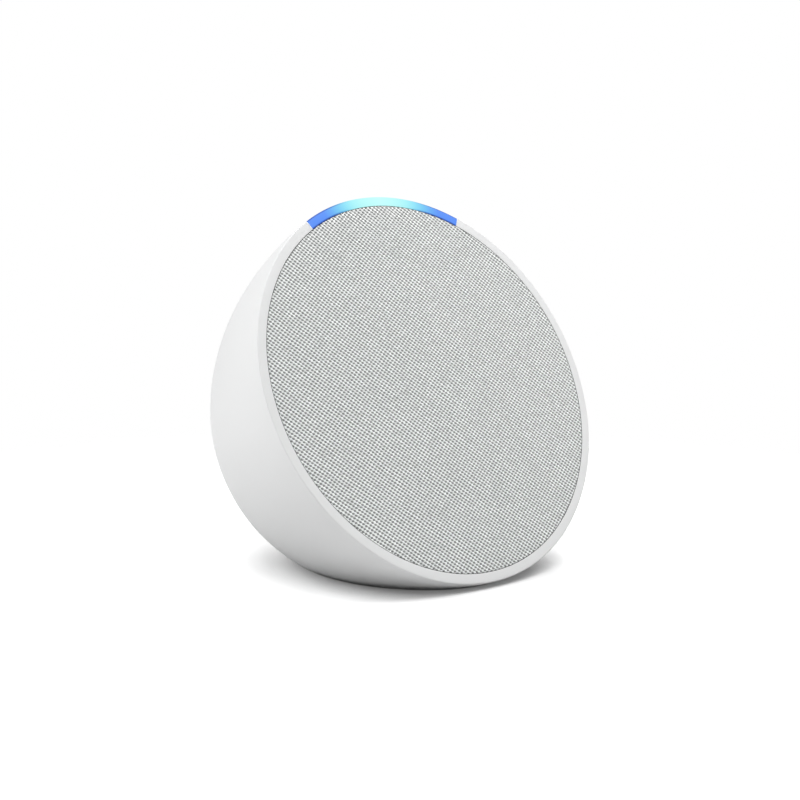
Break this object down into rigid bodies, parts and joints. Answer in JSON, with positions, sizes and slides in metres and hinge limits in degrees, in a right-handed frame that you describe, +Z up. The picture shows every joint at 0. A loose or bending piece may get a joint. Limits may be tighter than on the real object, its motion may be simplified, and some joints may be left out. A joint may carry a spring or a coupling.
{
  "type": "smart speaker",
  "caption": "Half-ball smart speaker with a large round cloth face that leans back, a glowing arc in the top of its rim, press buttons behind it and a flat rubber foot.",
  "frame": {"origin": "on the underside of the foot, under the middle of the body's width and depth", "axes": "+X to the right of someone facing the cloth, +Y from the cloth to the back, +Z up"},
  "size_m": [0.099, 0.0828, 0.0909],
  "materials": {
    "shell": "fine matt moulded plastic, off-white",
    "foot_rubber": "soft grey silicone rubber",
    "diffuser": "frosted translucent plastic, lit from behind: blue at its ends, pale cyan in its middle",
    "light_guide": "clear acrylic",
    "board": "green solder mask on glass-fibre board",
    "led": "white LED body",
    "dark_plastic": "black moulded plastic, fine texture",
    "cloth": "plain woven white yarn with grey gaps",
    "screw_steel": "zinc-plated steel",
    "foam": "black foam and rubber seals",
    "basket_metal": "black powder-coated steel",
    "contact_brass": "tinned brass contacts",
    "plate_steel": "zinc-plated steel plate",
    "ferrite": "dark grey sintered ferrite",
    "former_film": "amber polyimide film",
    "copper": "enamelled copper wire",
    "cone_paper": "black coated paper pulp",
    "surround_rubber": "black butyl rubber",
    "spider_cloth": "resin-stiffened amber cloth",
    "chip": "black moulded chip package",
    "pad": "grey-blue thermal pad",
    "sink_aluminium": "plain extruded aluminium",
    "can_steel": "tinned steel can",
    "capacitor": "dark sleeved electrolytic can",
    "inductor": "pressed ferrite block",
    "connector": "ivory nylon connector",
    "antenna_copper": "copper foil antenna",
    "lead_red": "red insulated wire",
    "lead_black": "black insulated wire",
    "flex": "amber flexible circuit",
    "mic_metal": "gold-coloured microphone can"
  },
  "bodies": {
    "body": {"rear_housing": "shell", "foot_pad": "foot_rubber", "light_bar": "diffuser", "light_guide": "light_guide", "led_board": "board", "leds": "led", "grille_frame": "dark_plastic", "grille_cloth": "cloth", "front_chassis": "dark_plastic", "chassis_screws": "screw_steel", "driver_gasket": "foam", "driver_basket": "basket_metal", "driver_screws": "screw_steel", "driver_terminals": "contact_brass", "top_plate": "plate_steel", "magnet": "ferrite", "yoke": "plate_steel", "surround": "surround_rubber", "spider": "spider_cloth", "chamber_seal": "foam", "speaker_chamber": "dark_plastic", "chamber_screws": "screw_steel", "lead_grommet": "foam", "main_board": "board", "board_screws": "screw_steel", "processor": "chip", "memory_chips": "chip", "thermal_pad": "pad", "heat_sink": "sink_aluminium", "shield_can": "can_steel", "capacitors": "capacitor", "inductors": "inductor", "board_connectors": "connector", "antennas": "antenna_copper", "switches": "can_steel", "switch_board": "board", "switch_screws": "screw_steel", "microphones": "mic_metal", "mic_gaskets": "foam", "power_jack": "dark_plastic", "jack_pin": "contact_brass", "jack_strap": "can_steel", "strap_screws": "screw_steel", "speaker_lead": "lead_red", "power_lead": "lead_black", "led_cable": "flex", "button_cable": "flex"},
    "volume_down_button": {"volume_down_cap": "shell", "volume_down_plunger": "dark_plastic"},
    "mute_button": {"mute_cap": "shell", "mute_plunger": "dark_plastic"},
    "volume_up_button": {"volume_up_cap": "shell", "volume_up_plunger": "dark_plastic"},
    "cone_assembly": {"cone": "cone_paper", "dust_cap": "cone_paper", "coil_former": "former_film", "voice_coil": "copper"}
  },
  "joints": [
    {"name": "volume_down_press", "type": "slide", "parent": "body", "child": "volume_down_button", "axis": [0, -0.6486, -0.7611], "range_m": [0, 0.0004], "stiffness_N_per_m": 1500},
    {"name": "mute_press", "type": "slide", "parent": "body", "child": "mute_button", "axis": [0, -0.6486, -0.7611], "range_m": [0, 0.0004], "stiffness_N_per_m": 1500},
    {"name": "volume_up_press", "type": "slide", "parent": "body", "child": "volume_up_button", "axis": [0, -0.6486, -0.7611], "range_m": [0, 0.0004], "stiffness_N_per_m": 1500},
    {"name": "cone_stroke", "type": "slide", "parent": "body", "child": "cone_assembly", "axis": [0, -0.9018, 0.4321], "range_m": [-0.0015, 0.0015], "stiffness_N_per_m": 1200, "deforming": ["surround", "spider"]}
  ]
}
